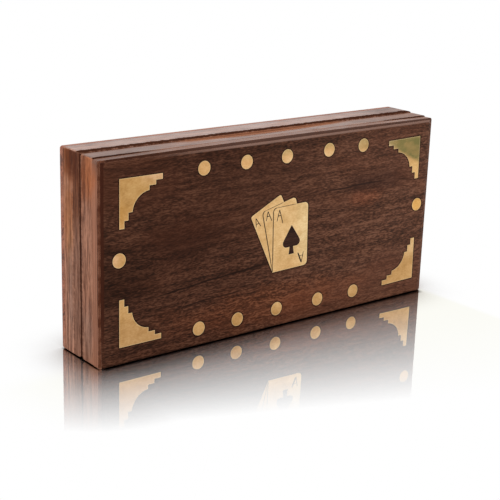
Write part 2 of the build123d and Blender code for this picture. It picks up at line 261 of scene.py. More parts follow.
def makeGrainGroup(shape):
    # Growth rings round a pith line along x: the ring number is the distance from the pith, with the
    # point pushed about by slow noise, over the ring width. Streaks, dashes, specks and pores are noise
    # drawn out along x.
    inputs = {"Vector": origin, "Pith": origin, "RingWidth": 5.0, "Waver": 3.0, "Ripple": 0.6,
              "Bands": 0.2, "Streaks": 0.3, "Dashes": 0.3, "Specks": 0.2}
    tree, source, sink = newGroup("woodGrain", inputs, ("Tone", "Pores", "Figure", "Height"))
    place = source["Vector"]
    push = times(tree, sway(tree, place, "grainBend"), source["Waver"], shape["swing"])
    ripple = times(tree, source["Ripple"], shape["swing"])
    push = calc(tree, "MULTIPLY_ADD", sway(tree, place, "grainRipple"), ripple, push)
    pushed = addNode(tree, "CombineXYZ", {"Y": push, "Z": push}).outputs[0]
    bent = vectorCalc(tree, "ADD", place, pushed)
    away = axesOf(tree, vectorCalc(tree, "SUBTRACT", bent, source["Pith"]))
    squares = times(tree, away["Z"], away["Z"])
    reach = calc(tree, "SQRT", calc(tree, "MULTIPLY_ADD", away["Y"], away["Y"], squares))
    ring = calc(tree, "DIVIDE", reach, source["RingWidth"])
    rings = addNode(tree, "TexNoise", {"W": ring, **shape["rings"]}, noise_dimensions="1D").outputs["Fac"]
    bands = spread(tree, rings, *noiseSpan)
    dashes = noise(tree, bent, "grainDashes")
    layers = {"Streaks": noise(tree, bent, "grainStreaks"), "Dashes": dashes,
              "Specks": noise(tree, bent, "grainSpecks")}
    tone = times(tree, bands, source["Bands"])
    for label, layer in layers.items():
        tone = calc(tree, "MULTIPLY_ADD", spread(tree, layer, *noiseSpan), source[label], tone)
    pores = spread(tree, noise(tree, bent, "grainPores"), *shape["pores"])
    pores = times(tree, pores, spread(tree, bands, *shape["poresInBands"]))
    height = calc(tree, "SUBTRACT", times(tree, dashes, shape["dashHeight"]), pores)
    figure = noise(tree, place, "grainFigure")
    feed(tree, sink, {"Tone": tone, "Pores": pores, "Figure": figure, "Height": height})
    return tree


patchShape = {"raggedness": 0.9, "fade": (0.25, 1.1)}   # in radii


def makePatchGroup(shape):
    # Soft oval: one minus the distance from its middle, in radii, with the edge broken by noise
    inputs = {"Vector": origin, "Middle": origin, "Radii": (10, 10, 10)}
    tree, source, sink = newGroup("tonePatch", inputs, ("Mask",))
    apart = vectorCalc(tree, "SUBTRACT", source["Vector"], source["Middle"])
    shares = vectorCalc(tree, "DIVIDE", apart, source["Radii"])
    reach = addNode(tree, "VectorMath", {0: shares}, operation="LENGTH").outputs["Value"]
    ragged = sway(tree, source["Vector"], "patchEdge")
    reach = calc(tree, "MULTIPLY_ADD", ragged, shape["raggedness"], reach)
    feed(tree, sink, {"Mask": fade(tree, reach, *shape["fade"])})
    return tree


veinShape = {"wander": 2.4, "widthFade": (0.1, 1.0), "reachFade": (0.5, 1.0)}   # wander in mm


def makeVeinGroup(shape):
    # Dark line in the figure: nearness to z = middle z + slope * (x - middle x), wandering a little,
    # times a window along x
    inputs = {"Vector": origin, "Middle": origin, "Slope": 0.0, "Reach": 30.0, "Width": 1.0}
    tree, source, sink = newGroup("darkVein", inputs, ("Mask",))
    away = axesOf(tree, vectorCalc(tree, "SUBTRACT", source["Vector"], source["Middle"]))
    wander = times(tree, sway(tree, source["Vector"], "veinWander"), shape["wander"])
    line = calc(tree, "MULTIPLY_ADD", away["X"], source["Slope"], wander)
    off = absolute(tree, calc(tree, "SUBTRACT", away["Z"], line))
    near = fade(tree, calc(tree, "DIVIDE", off, source["Width"]), *shape["widthFade"])
    along = calc(tree, "DIVIDE", absolute(tree, away["X"]), source["Reach"])
    feed(tree, sink, {"Mask": times(tree, near, fade(tree, along, *shape["reachFade"]))})
    return tree


edgeAndWearShape = {"samples": 6, "turn": (0.995, 0.85), "patches": (0.35, 0.62)}


def makeEdgeAndWearGroup(shape):
    # Edges: how far the rounded normal turns from the true one, whole and broken up by noise
    inputs = {"Vector": origin, "Radius": 0.0008}
    tree, source, sink = newGroup("edgeAndWear", inputs, ("Edge", "Worn"))
    soft = addNode(tree, "Bevel", {"Radius": source["Radius"]}, samples=shape["samples"]).outputs[0]
    hard = addNode(tree, "NewGeometry").outputs["Normal"]
    same = addNode(tree, "VectorMath", {0: soft, 1: hard}, operation="DOT_PRODUCT").outputs["Value"]
    edge = spread(tree, same, *shape["turn"])
    patchy = spread(tree, noise(tree, source["Vector"], "wornPatches"), *shape["patches"])
    feed(tree, sink, {"Edge": edge, "Worn": times(tree, edge, patchy)})
    return tree


def makeHandlingGroup():
    # Marks of use: broad smears, and fine hairlines that are noise drawn out along x
    tree, source, sink = newGroup("handling", {"Vector": origin}, ("Smear", "Hairlines"))
    for label, kind in (("Smear", "smears"), ("Hairlines", "hairlines")):
        feed(tree, sink, {label: spread(tree, noise(tree, source["Vector"], kind), *noiseSpan)})
    return tree


jointBandShape = {"raggedness": (0.7, 1.25), "fade": (0.55, 1.0), "skin": (1.2, 2.2)}   # skin in mm


def makeJointBandGroup(shape):
    # A band along a joint, used for painted shade at the seam and for dirt in the lid joint: nearness to
    # the plane y = Plane within HalfWidth, its rim broken by noise, only where the wood is near the box's
    # outside
    inputs = {"Vector": origin, "Plane": 0.0, "HalfWidth": 1.0, "HalfLength": 100.0, "HalfHeight": 50.0}
    tree, source, sink = newGroup("jointBandMask", inputs, ("Mask",))
    axes = axesOf(tree, source["Vector"])
    off = absolute(tree, calc(tree, "SUBTRACT", axes["Y"], source["Plane"]))
    ragged = spread(tree, noise(tree, source["Vector"], "jointBandEdge"), *noiseSpan, *shape["raggedness"])
    share = calc(tree, "DIVIDE", off, times(tree, source["HalfWidth"], ragged))
    inX = calc(tree, "SUBTRACT", source["HalfLength"], absolute(tree, axes["X"]))
    fromMiddle = absolute(tree, calc(tree, "SUBTRACT", axes["Z"], source["HalfHeight"]))
    inZ = calc(tree, "SUBTRACT", source["HalfHeight"], fromMiddle)
    outside = fade(tree, calc(tree, "MINIMUM", inX, inZ), *shape["skin"])
    feed(tree, sink, {"Mask": times(tree, fade(tree, share, *shape["fade"]), outside)})
    return tree


grainGroup = makeGrainGroup(grainShape)
patchGroup = makePatchGroup(patchShape)
veinGroup = makeVeinGroup(veinShape)
edgeAndWearGroup = makeEdgeAndWearGroup(edgeAndWearShape)
handlingGroup = makeHandlingGroup()
jointBandGroup = makeJointBandGroup(jointBandShape)
print("shared shader groups made")


# Woods

alongX = origin
alongZ = (0, math.pi / 2, 0)   # turns the piece's z to the grain's x
boxPlanes = {   # y of the seam and of the lid panel's joint, and half sizes, in mm
    "seam": -1.5,
    "lidJoint": -11.5,
    "halfLength": 102.0,
    "halfHeight": 48.0,
}

panelLook = {
    "grain": alongX,
    "shift": origin,
    "pith": (0, 30, -70),
    "ringWidth": 5.0,
    "waver": 5.0,
    "ripple": 1.2,
    "mixture": {"Bands": 0.16, "Streaks": 0.2, "Dashes": 0.28, "Specks": 0.36},
    "toneEnds": (0.22, 0.78),
    "calm": [   # middle and radii in mm of quieter grain, and how quiet
        ((-12, -17, 76), (55, 30, 20), 0.34),
        ((-30, -17, 52), (34, 30, 16), 0.15),
    ],
    "dark": paint(41, 24, 16),
    "middle": paint(67, 39, 27),
    "light": paint(94, 60, 44),
    "warm": paint(80, 44, 29),
    "pore": paint(32, 17, 11),
    "worn": paint(176, 122, 96),
    "specular": 0.03,
    "coatRoughness": 0.22,
    "roughness": (0.45, 0.62),
    "spots": [   # middle and radii in mm, and the tint that multiplies the wood there
        ((-56, -17, 52), (30, 30, 17), (0.72, 0.7, 0.7, 1)),
        ((-90, -17, 40), (24, 30, 20), (0.6, 0.58, 0.56, 1)),
        ((-20, -17, 88), (60, 30, 9), (0.9, 0.89, 0.88, 1)),
        ((64, -17, 67), (28, 30, 8), (0.58, 0.58, 0.62, 1)),
        ((57, -17, 58), (14, 30, 6), (1.35, 1.16, 1.05, 1)),
        ((-10, -17, 13), (75, 30, 13), (1.5, 1.3, 1.1, 1)),
    ],
    "veins": [   # middle, slope, reach and width in mm
        ((-40, -17, 31.4), 0.08, 46, 0.75),
        ((48, -17, 65.5), 0.02, 26, 0.7),
        ((-40, -17, 22), 0.05, 22, 0.5),
    ],
    # Painted highlight on the right of the face
    "rightHighlightTint": (1.82, 1.98, 2.06, 1),
    "faceCoat": (0.02, 0.07),
    "sideDark": paint(108, 68, 50),
    "sideLight": paint(150, 101, 78),
    "sideCoat": (0.12, 0.36),
    "topTint": (0.8, 0.87, 0.92, 1),
    "topSpots": [((-92, -14, 95), (30, 7, 9), (0.66, 0.66, 0.68, 1))],
    # Painted shade along the moulding, on the top and the left
    "mouldingShade": paint(56, 27, 17),
    "topShade": 0.75,
    "leftShoulderShade": paint(82, 43, 27),
    # Painted highlight on the top's round
    "roundHighlight": paint(130, 99, 86),
    "pocketRim": paint(30, 17, 12),
    "veinShare": 0.95,
    "mouldingShadeShare": 0.92,
    "roundHighlightShare": 0.9,
    "rimShare": 0.95,
    "wornShare": 0.5,
    "rimRadius": 0.0014,
    # Where each part of the look starts and is full, in mm
    "highlightX": (-60, 90),
    "endsX": (99.5, 100.5),
    "sideY": (-16.07, -15.9),
    "drift": 0.8,
    "topZ": (92.5, 94.5),
    "mouldingZ": (92.2, 92.7),
    "mouldingX": (-98.6, -99.1),
    "shoulderY": -16.1,
    "shoulderFade": (0.05, 0.16),
    "deepY": (-16.5, -16.15),
    "raggedness": 0.5,
    "roundY": (-16.98, -16.88),
    "topShadeX": (-101, -97),
    "leftShadeZ": (2, 26),
    "leftShadeFoot": 0.25,
    "roundHighlightX": (-85, -20),
    "behindY": (-16.6, -16.4),
}

railLook = {
    "grain": alongX,
    "shift": (40, 13, 220),
    "pith": (0, 60, 260),
    "ringWidth": 4.0,
    "waver": 4.0,
    "ripple": 0.8,
    "mixture": {"Bands": 0.17, "Streaks": 0.4, "Dashes": 0.3, "Specks": 0.13},
    "toneEnds": (0.2, 0.8),
    "dark": paint(100, 64, 50),
    "middle": paint(138, 96, 78),
    "light": paint(162, 118, 98),
    "warm": paint(150, 100, 76),
    "pore": paint(70, 42, 31),
    "worn": paint(176, 128, 102),
    "specular": 0.0,   # the lacquer alone shines, so that the painted seam shadow and the dirt on it stay dark
    "coatRoughness": 0.15,
    "roughness": (0.42, 0.56),
    "spots": [
        ((-84, -8, 96), (34, 9, 12), (0.66, 0.66, 0.68, 1)),
        ((0, 15, 96), (130, 6, 12), (0.86, 0.88, 0.92, 1)),
        ((66, -7, 96), (60, 5, 12), (0.92, 0.98, 1.02, 1)),
        ((94, 10, 96), (30, 14, 12), (0.66, 0.68, 0.72, 1)),
    ],
    "coatLid": 0.58,
    "coatBase": 0.84,
    "dullEnd": (45, 100, 0.62),   # where along x the lacquer goes dull, and what is left of it
    "lidTint": (0.77, 0.785, 0.79, 1),
    "seamShade": (2.0, 3.5, 0.25),   # painted shade beside the seam: middle off the seam and half width in mm, and strength
    # Painted shadow line in the seam gap: its middle off the seam and half width in mm
    "seamShift": 1.9,
    "seamWidth": 2.3,
    "jointWidth": 0.85,
    # Colour of the painted seam shade and shadow, and of the lid joint's dirt
    "shadeAndGrime": paint(52, 26, 16),
    "calm": [],
    "finger": True,
    "fingerWood": paint(150, 100, 74),
    "fingerFloor": (93.6, 94.2),   # rubbed band: heights where it starts and ends, in mm
    "fingerBrim": (95.6, 95.8),
    "fingerHalf": (40, 58),
    "fingerBack": (-7.5, -3.0),
    "fingerEnds": 0.2,   # how rubbed the seam is towards the ends
}

lidEndSpots = [
    ((-102, -8, 87), (14, 9, 15), (1.04, 0.78, 0.52, 1)),
    ((-102, -7, 12), (14, 6, 18), (0.84, 0.95, 1.04, 1)),
]
endLook = {
    **railLook,
    "grain": alongZ,
    "shift": (11, 7, 37),
    "pith": (0, 66, 160),
    "ringWidth": 3.0,
    "waver": 2.4,
    "mixture": {"Bands": 0.28, "Streaks": 0.48, "Dashes": 0.14, "Specks": 0.1},
    "toneEnds": (0.21, 0.79),
    "dark": paint(97, 62, 48),
    "middle": paint(136, 95, 76),
    "light": paint(164, 118, 96),
    "warm": paint(151, 99, 73),
    "specular": 0.03,
    "coatRoughness": 0.25,
    "coatLid": 0.04,
    "coatBase": 0.04,
    "lidTint": (0.92, 0.88, 0.85, 1),
    "seamShift": 0.0,
    "seamWidth": 0.95,
    "seamShade": (2.5, 5.0, 0.4),
    "jointWidth": 0.0,
    "finger": False,
    "spots": [
        ((-102, 7, 92), (14, 12, 13), (0.42, 0.26, 0.14, 1)),
        ((-102, 2, 80), (14, 8, 28), (0.62, 0.45, 0.32, 1)),
        ((-102, 8.5, 66), (14, 6, 30), (1.04, 0.9, 0.66, 1)),
        ((-102, 16, 62), (14, 3, 60), (0.9, 0.72, 0.62, 1)),
        ((-102, 7.5, 34), (14, 2.6, 40), (0.78, 0.86, 0.94, 1)),
        *lidEndSpots,
    ],
}

backLook = {
    **railLook,
    "mixture": {"Bands": 0.3, "Streaks": 0.38, "Dashes": 0.22, "Specks": 0.1},
    "shift": (7, 90, 61),
    "specular": 0.04,
    "pith": (0, 40, -40),
    "ringWidth": 6.0,
    "dark": paint(84, 46, 33),
    "middle": paint(126, 74, 53),
    "light": paint(152, 95, 72),
    "coatLid": 0.3,
    "coatBase": 0.3,
    "lidTint": (1, 1, 1, 1),
    "spots": [],
    "seamWidth": 0.0,
    "jointWidth": 0.0,
    "finger": False,
}

spadeLook = {
    **backLook,
    "shift": (60, 0, 31),
    "dark": paint(28, 16, 12),
    "middle": paint(48, 28, 21),
    "light": paint(68, 42, 32),
    "warm": paint(54, 31, 22),
    "pore": paint(22, 13, 10),
    "worn": paint(30, 18, 13),
    "coatLid": 0.05,
    "coatBase": 0.05,
}

middleTone = 0.5
woodFinish = {
    "figure": (0.45, 0.68),   # span of the slow noise that warms the wood
    "warmth": 0.45,
    "pores": 0.55,
    "poreRoughness": 0.2,
    "smearedCoat": (1.05, 0.8),
    "bump": {"Strength": 0.35, "Distance": 0.00012},
    "seamBlend": 0.1,   # mm each side of the seam over which the base's look turns to the lid's
    "worn": 0.45,
    "seamShadow": 0.92,
    "seamDull": 0.3,   # how much of the painted seam shadow takes all the lacquer's shine
    "bare": 0.85,
    "bareCoat": 0.1,
    "jointX": (66, 82),   # how far from the middle the lid joint's dirt starts
    "jointBand": 0.9,
    "jointDull": 0.7,
}


def spotMask(tree, here, middle, radii):
    return useGroup(tree, patchGroup, Vector=here, Middle=middle, Radii=radii)["Mask"]


def tintSpots(tree, here, colour, spots):
    # Multiplies the colour by each spot's shade where the spot's mask is
    for middle, radii, shade in spots:
        colour = tint(tree, spotMask(tree, here, middle, radii), colour, shade)
    return colour


def plainWood(tree, here, look):
    # Grain, warm figure, spots and pores; gives the colour, pores, bump height and grain coordinates
    board = millimetres(tree, look["grain"], look["shift"])
    grain = useGroup(tree, grainGroup, Vector=board, Pith=look["pith"], RingWidth=look["ringWidth"],
                     Waver=look["waver"], Ripple=look["ripple"], **look["mixture"])
    tone = grain["Tone"]
    for middle, radii, share in look["calm"]:
        quiet = times(tree, spotMask(tree, here, middle, radii), share)
        tone = mixValue(tree, quiet, tone, middleTone)
    low, high = look["toneEnds"]
    colour = ramp(tree, tone, [(low, look["dark"]), (middleTone, look["middle"]), (high, look["light"])])
    warmth = times(tree, spread(tree, grain["Figure"], *woodFinish["figure"]), woodFinish["warmth"])
    colour = mixColour(tree, warmth, colour, look["warm"])
    colour = tintSpots(tree, here, colour, look["spots"])
    colour = mixColour(tree, times(tree, grain["Pores"], woodFinish["pores"]), colour, look["pore"])
    return colour, grain["Pores"], grain["Height"], board


def finishWood(tree, shader, look, colour, coat, pores, height, board):
    # Colour, lacquer, roughness and bump onto the shader's sockets
    smear = useGroup(tree, handlingGroup, Vector=board)["Smear"]
    rough = spread(tree, smear, 0.0, 1.0, *look["roughness"])
    rough = calc(tree, "MULTIPLY_ADD", pores, woodFinish["poreRoughness"], rough)
    smeared = spread(tree, smear, 0.0, 1.0, *woodFinish["smearedCoat"])
    coat = calc(tree, "MULTIPLY", coat, smeared, clamp=True)
    bump = addNode(tree, "Bump", {**woodFinish["bump"], "Height": height}).outputs[0]
    feed(tree, shader, {"Base Color": colour, "Coat Weight": coat, "Roughness": rough, "Normal": bump})


def startWood(name, look):
    plain = {"Specular IOR Level": look["specular"], "Coat Roughness": look["coatRoughness"]}
    material, tree, shader = newMaterial(name, **plain)
    here = millimetres(tree)
    return material, tree, shader, here, axesOf(tree, here)


def jointBand(tree, here, plane, halfWidth):
    outline = {"HalfLength": boxPlanes["halfLength"], "HalfHeight": boxPlanes["halfHeight"]}
    return useGroup(tree, jointBandGroup, Vector=here, Plane=plane, HalfWidth=halfWidth, **outline)["Mask"]


def makeWood(name, look):
    # Rails, ends and other plain boards: painted shade and shadow at the seam, dirt in the lid joint, a
    # bare finger bevel, and rubbed edges
    material, tree, shader, here, axes = startWood(name, look)
    colour, pores, height, board = plainWood(tree, here, look)
    seam = boxPlanes["seam"]
    onLid = fade(tree, axes["Y"], seam - woodFinish["seamBlend"], seam + woodFinish["seamBlend"])
    coat = spread(tree, onLid, 0.0, 1.0, look["coatBase"], look["coatLid"])
    dullStart, dullFull, leftOver = look["dullEnd"]
    coat = times(tree, coat, spread(tree, axes["X"], dullStart, dullFull, 1.0, leftOver))
    colour = tint(tree, onLid, colour, look["lidTint"])
    worn = useGroup(tree, edgeAndWearGroup, Vector=here)["Worn"]
    colour = mixColour(tree, times(tree, worn, woodFinish["worn"]), colour, look["worn"])
    fromMiddle = absolute(tree, axes["X"])
    if look["seamWidth"]:
        # Painted shade beside the seam, and a dark painted shadow line in the seam gap, where the lacquer
        # also goes dull
        shift, width, strength = look["seamShade"]
        shade = times(tree, jointBand(tree, here, seam + shift, width), strength)
        colour = mixColour(tree, shade, colour, look["shadeAndGrime"])
        darkBand = jointBand(tree, here, seam + look["seamShift"], look["seamWidth"])
        colour = mixColour(tree, times(tree, darkBand, woodFinish["seamShadow"]), colour, look["shadeAndGrime"])
        coat = times(tree, coat, fade(tree, darkBand, 0.0, woodFinish["seamDull"]))
    if look["finger"]:
        # Fingers rub the seam bare in the middle, below the arris
        bare = times(
            tree,
            fade(tree, axes["Z"], *look["fingerBrim"]),
            spread(tree, axes["Z"], *look["fingerFloor"]),
            spread(tree, fromMiddle, *look["fingerHalf"], 1.0, look["fingerEnds"]),
            spread(tree, axes["Y"], *look["fingerBack"]),
        )
        colour = mixColour(tree, times(tree, bare, woodFinish["bare"]), colour, look["fingerWood"])
        coat = times(tree, coat, spread(tree, bare, 0.0, 1.0, 1.0, woodFinish["bareCoat"]))
    if look["jointWidth"]:
        darkBand = jointBand(tree, here, boxPlanes["lidJoint"], look["jointWidth"])
        darkBand = times(tree, darkBand, spread(tree, fromMiddle, *woodFinish["jointX"]))
        colour = mixColour(tree, times(tree, darkBand, woodFinish["jointBand"]), colour, look["shadeAndGrime"])
        coat = times(tree, coat, fade(tree, darkBand, 0.0, woodFinish["jointDull"]))
    finishWood(tree, shader, look, colour, coat, pores, height, board)
    return material


def makePanel(name, look):
    # Lid panel: dark figured face with a painted highlight to the right, pale sides, painted shade along
    # the moulding with a painted highlight on the top's round, and dark stain in the pocket rims
    material, tree, shader, here, axes = startWood(name, look)
    colour, pores, height, board = plainWood(tree, here, look)
    for middle, slope, reach, width in look["veins"]:
        line = {"Middle": middle, "Slope": slope, "Reach": reach, "Width": width}
        vein = times(tree, useGroup(tree, veinGroup, Vector=here, **line)["Mask"], look["veinShare"])
        colour = mixColour(tree, vein, colour, look["pore"])
    # Painted highlight: the face lightens towards the right
    across = spread(tree, axes["X"], *look["highlightX"])
    colour = tint(tree, across, colour, look["rightHighlightTint"])
    coat = spread(tree, across, 0.0, 1.0, *look["faceCoat"])
    # Sides behind the shoulder
    drift = times(tree, noise(tree, here, "rimDrift"), look["drift"])
    atEnds = spread(tree, absolute(tree, axes["X"]), *look["endsX"])
    behindRim = calc(tree, "SUBTRACT", axes["Y"], times(tree, drift, atEnds))
    side = spread(tree, behindRim, *look["sideY"])
    tones = zip(noiseSpan, (look["sideDark"], look["sideLight"]))
    sideWood = ramp(tree, noise(tree, here, "sideStreaks"), list(tones))
    sideWood = tintSpots(tree, here, sideWood, lidEndSpots)
    above = spread(tree, axes["Z"], *look["topZ"])
    sideWood = tint(tree, above, sideWood, look["topTint"])
    sideWood = tintSpots(tree, here, sideWood, look["topSpots"])
    colour = mixColour(tree, side, colour, sideWood)
    endCoat, topCoat = look["sideCoat"]
    coat = mixValue(tree, side, coat, spread(tree, above, 0.0, 1.0, endCoat, topCoat))
    # Moulding, along the top and the left: painted shade on the shoulder and round, and a painted
    # highlight on the top's round
    ragged = times(tree, sway(tree, here, "mouldingShadeEdge"), look["raggedness"])
    off = absolute(tree, calc(tree, "SUBTRACT", axes["Y"], look["shoulderY"]))
    shoulder = fade(tree, off, *look["shoulderFade"])
    deep = spread(tree, calc(tree, "ADD", axes["Y"], ragged), *look["deepY"])
    rounded = spread(tree, axes["Y"], *look["roundY"])
    front = calc(tree, "SUBTRACT", 1.0, side)
    onTop = spread(tree, axes["Z"], *look["mouldingZ"])
    onLeft = spread(tree, axes["X"], *look["mouldingX"])
    fromLeft = spread(tree, axes["X"], *look["topShadeX"], 0.0, look["topShade"])
    # Painted shade in the top's quirk and on the left round, weaker towards the foot
    topShade = times(tree, onTop, largest(tree, shoulder, deep), fromLeft)
    fromFoot = spread(tree, axes["Z"], *look["leftShadeZ"], look["leftShadeFoot"], 1.0)
    leftShade = times(tree, onLeft, fromFoot, calc(tree, "SUBTRACT", rounded, shoulder, clamp=True))
    # Painted shade on the left shoulder
    colour = mixColour(tree, times(tree, onLeft, shoulder, front), colour, look["leftShoulderShade"])
    mouldingShade = times(tree, largest(tree, topShade, leftShade), front)
    # Painted highlight along the top's round, growing towards the right
    lit = spread(tree, axes["X"], *look["roundHighlightX"], 0.0, look["roundHighlightShare"])
    roundHighlight = times(tree, onTop, rounded, front, lit)
    colour = mixColour(tree, roundHighlight, colour, look["roundHighlight"])
    coat = mixValue(tree, roundHighlight, coat, topCoat)
    colour = mixColour(tree, times(tree, mouldingShade, look["mouldingShadeShare"]), colour, look["mouldingShade"])
    coat = mixValue(tree, mouldingShade, coat, 0.0)
    # Pocket rims on the face, rubbed arrises behind it
    edges = useGroup(tree, edgeAndWearGroup, Vector=here, Radius=look["rimRadius"])
    behind = spread(tree, axes["Y"], *look["behindY"])
    rim = times(tree, edges["Edge"], calc(tree, "SUBTRACT", 1.0, behind))
    colour = mixColour(tree, times(tree, rim, look["rimShare"]), colour, look["pocketRim"])
    coat = mixValue(tree, rim, coat, 0.0)
    unshaded = spread(tree, mouldingShade, 0.0, 1.0, look["wornShare"], 0.0)
    colour = mixColour(tree, times(tree, edges["Worn"], behind, unshaded), colour, look["worn"])
    finishWood(tree, shader, look, colour, coat, pores, height, board)
    return material


panelWood = makePanel("panelWood", panelLook)
railWood = makeWood("railWood", railLook)
endWood = makeWood("endWood", endLook)
backWood = makeWood("backWood", backLook)
spadeWood = makeWood("spadeWood", spadeLook)
print("woods made")


# Metals, cloth and the filling of the engraved lines

brassShape = {
    "shares": {"brassMottle": 0.42, "brassBrushing": 0.28, "brassSpots": 0.3},
    "stops": (0.33, 0.5, 0.67),
    # Strength of the painted highlight on the edges
    "rim": 0.6,
    "bump": {"Strength": 0.12, "Distance": 0.00004},
}
inlayLook = {
    "deep": paint(173, 130, 76),
    "middle": paint(196, 152, 97),
    "pale": paint(214, 173, 118),
    # Colour of the painted highlight on the edges
    "rim": paint(232, 204, 156),
    "roughness": (0.32, 0.48),
    "spots": [   # middle and radii in mm, and the tint of the metal there; the pale, cool tints are painted highlights
        ((4, -17, 48), (40, 20, 40), (1.23, 1.36, 1.56, 1)),
        ((19, -17, 50), (12, 20, 30), (1.06, 1.18, 1.3, 1)),
        ((94, -17, 49), (8, 20, 8), (1.3, 1.28, 1.0, 1)),
        ((-97, -17, 49), (8, 20, 8), (1.22, 1.27, 1.7, 1)),
        ((-82, -17, 12), (28, 20, 15), (0.87, 0.85, 0.86, 1)),
        ((-80, -17, 84), (30, 20, 16), (0.88, 0.86, 0.78, 1)),
        ((-70, -17, 88), (13, 20, 10), (1.18, 1.26, 1.75, 1)),
        ((-96, -17, 69), (10, 20, 11), (0.9, 0.82, 0.62, 1)),
        ((95, -17, 27), (9, 20, 9), (1.12, 1.22, 1.4, 1)),
        ((69, -17, 86), (7, 20, 7), (0.88, 1.0, 1.12, 1)),
        ((12, -17, 89.2), (62, 20, 3.8), (0.82, 0.92, 0.92, 1)),
        ((24, -17, 82.2), (56, 20, 3.8), (1.1, 1.18, 1.32, 1)),
        ((69, -17, 89), (7, 20, 3.6), (0.88, 0.93, 0.97, 1)),
        ((69, -17, 82.2), (7, 20, 4.2), (1.2, 1.3, 1.5, 1)),
        ((-63, -17, 8.4), (6, 20, 3), (0.88, 0.84, 0.8, 1)),
        ((0, -17, 86), (95, 20, 6), (1.16, 1.18, 1.28, 1)),
        ((92, -17, 70), (8, 20, 8), (1.25, 1.35, 1.4, 1)),
    ],
    # Colour of the painted reflection of something dark green
    "tarnishAndReflection": paint(120, 112, 66),
}
hingeLook = {
    "deep": paint(150, 112, 62),
    "middle": paint(186, 148, 92),
    "pale": paint(210, 174, 120),
    # Colour of the painted highlight on the edges
    "rim": paint(224, 196, 146),
    "roughness": (0.24, 0.40),
    "spots": [],
    "tarnishAndReflection": paint(112, 88, 54),
}


def makeBrass(name, look, tarnishAndReflectionMask):
    # Mottled and brushed metal under a film, with hairlines and pale rims, which are painted highlights
    material, tree, shader = newMaterial(name, Metallic=1.0)
    here = millimetres(tree)
    marks = useGroup(tree, handlingGroup, Vector=here)
    tone = noiseSum(tree, here, brassShape["shares"])
    tones = (look["deep"], look["middle"], look["pale"])
    colour = ramp(tree, tone, list(zip(brassShape["stops"], tones)))
    colour = tintSpots(tree, here, colour, look["spots"])
    # The film is a painted reflection on the inlays and tarnish on the hinges
    colour = mixColour(tree, tarnishAndReflectionMask(tree, here), colour, look["tarnishAndReflection"])
    # Painted highlight: the metal's edges are paler
    rim = useGroup(tree, edgeAndWearGroup, Vector=here)["Edge"]
    colour = mixColour(tree, times(tree, rim, brassShape["rim"]), colour, look["rim"])
    rough = spread(tree, marks["Smear"], 0.0, 1.0, *look["roughness"])
    bump = addNode(tree, "Bump", {**brassShape["bump"], "Height": marks["Hairlines"]}).outputs[0]
    feed(tree, shader, {"Base Color": colour, "Roughness": rough, "Normal": bump})
    return material


greenReflection = {   # lengths in mm
    "slantFrom": 70.0,
    "slant": 0.5,
    "waver": 4.0,
    "edge": (84.8, 87.6),
    "reach": (25, 90),
    "strength": 0.98,
    "patches": (0.35, 0.6, 0.72, 1.0),
}
brownFilm = {"spots": (0.52, 0.7), "strength": 0.6}


def cornerReflection(tree, here):
    # Painted reflection of something dark green over the top right of the lid, with a slanting lower edge
    axes = axesOf(tree, here)
    far = largest(tree, calc(tree, "SUBTRACT", axes["X"], greenReflection["slantFrom"]), 0.0)
    slant = calc(tree, "MULTIPLY_ADD", far, greenReflection["slant"], axes["Z"])
    slant = calc(tree, "MULTIPLY_ADD", noise(tree, here, "reflectionEdge"), greenReflection["waver"], slant)
    high = spread(tree, slant, *greenReflection["edge"])
    right = spread(tree, axes["X"], *greenReflection["reach"], 0.0, greenReflection["strength"])
    return times(tree, high, right, spread(tree, noise(tree, here, "reflectionPatches"), *greenReflection["patches"]))


def hollowTarnish(tree, here):
    # Brown film in scattered spots
    spots = spread(tree, noise(tree, here, "brownSpots"), *brownFilm["spots"])
    return times(tree, spots, brownFilm["strength"])


inlayBrass = makeBrass("inlayBrass", inlayLook, cornerReflection)
hingeBrass = makeBrass("hingeBrass", hingeLook, hollowTarnish)

feltLook = {
    "stops": [(0.36, paint(60, 11, 15)), (0.5, paint(98, 22, 27)), (0.66, paint(136, 50, 50))],
    "shares": {"feltMat": 0.4, "feltHairs": 0.4, "feltWear": 0.2},
    "plain": {"Roughness": 0.95, "Specular IOR Level": 0.1, "Sheen Weight": 0.35, "Sheen Roughness": 0.5},
    "bump": {"Strength": 0.6, "Distance": 0.0003},
}
waxLook = {
    "stops": [(0.4, paint(22, 14, 8)), (0.72, paint(52, 36, 20))],
    "shares": {"waxThinning": 1.0},
    "plain": {"Specular IOR Level": 0.2, "Roughness": 0.7},
    "bump": {"Strength": 0.3, "Distance": 0.00005},
}


def makeDull(name, look):
    # Felt is matted wool with a pale nap; wax is dark in the engraved lines, thin and brown in places.
    # In both, noise sets the colour and the bump
    material, tree, shader = newMaterial(name, **look["plain"])
    tone = noiseSum(tree, millimetres(tree), look["shares"])
    bump = addNode(tree, "Bump", {**look["bump"], "Height": tone}).outputs[0]
    feed(tree, shader, {"Base Color": ramp(tree, tone, look["stops"]), "Normal": bump})
    return material


feltCloth = makeDull("feltCloth", feltLook)
engravingWax = makeDull("engravingWax", waxLook)
print("metals, felt and wax made")


# Finishes for the frame's nodes

finishes = {   # the first of these words that is in a node's name gives its finish
    "_rail": railWood,
    "hinge": hingeBrass,
    "lid_panel": panelWood,
    "base_panel": backWood,
    "end": endWood,
    "divider": endWood,
    "inlay": inlayBrass,
    "stud": inlayBrass,
    "spade": spadeWood,
}


def finishFor(name):
    return next(finish for word, finish in finishes.items() if word in name)


def giveFinish(piece, material):
    if not piece.material_slots:
        piece.data.materials.append(material)
    for slot in piece.material_slots:
        slot.material = material


for name, node in nodes.items():
    if "felt" not in name:
        giveFinish(node, finishFor(name))
print("finishes on the frame's nodes")


# New pieces as numpy surfaces

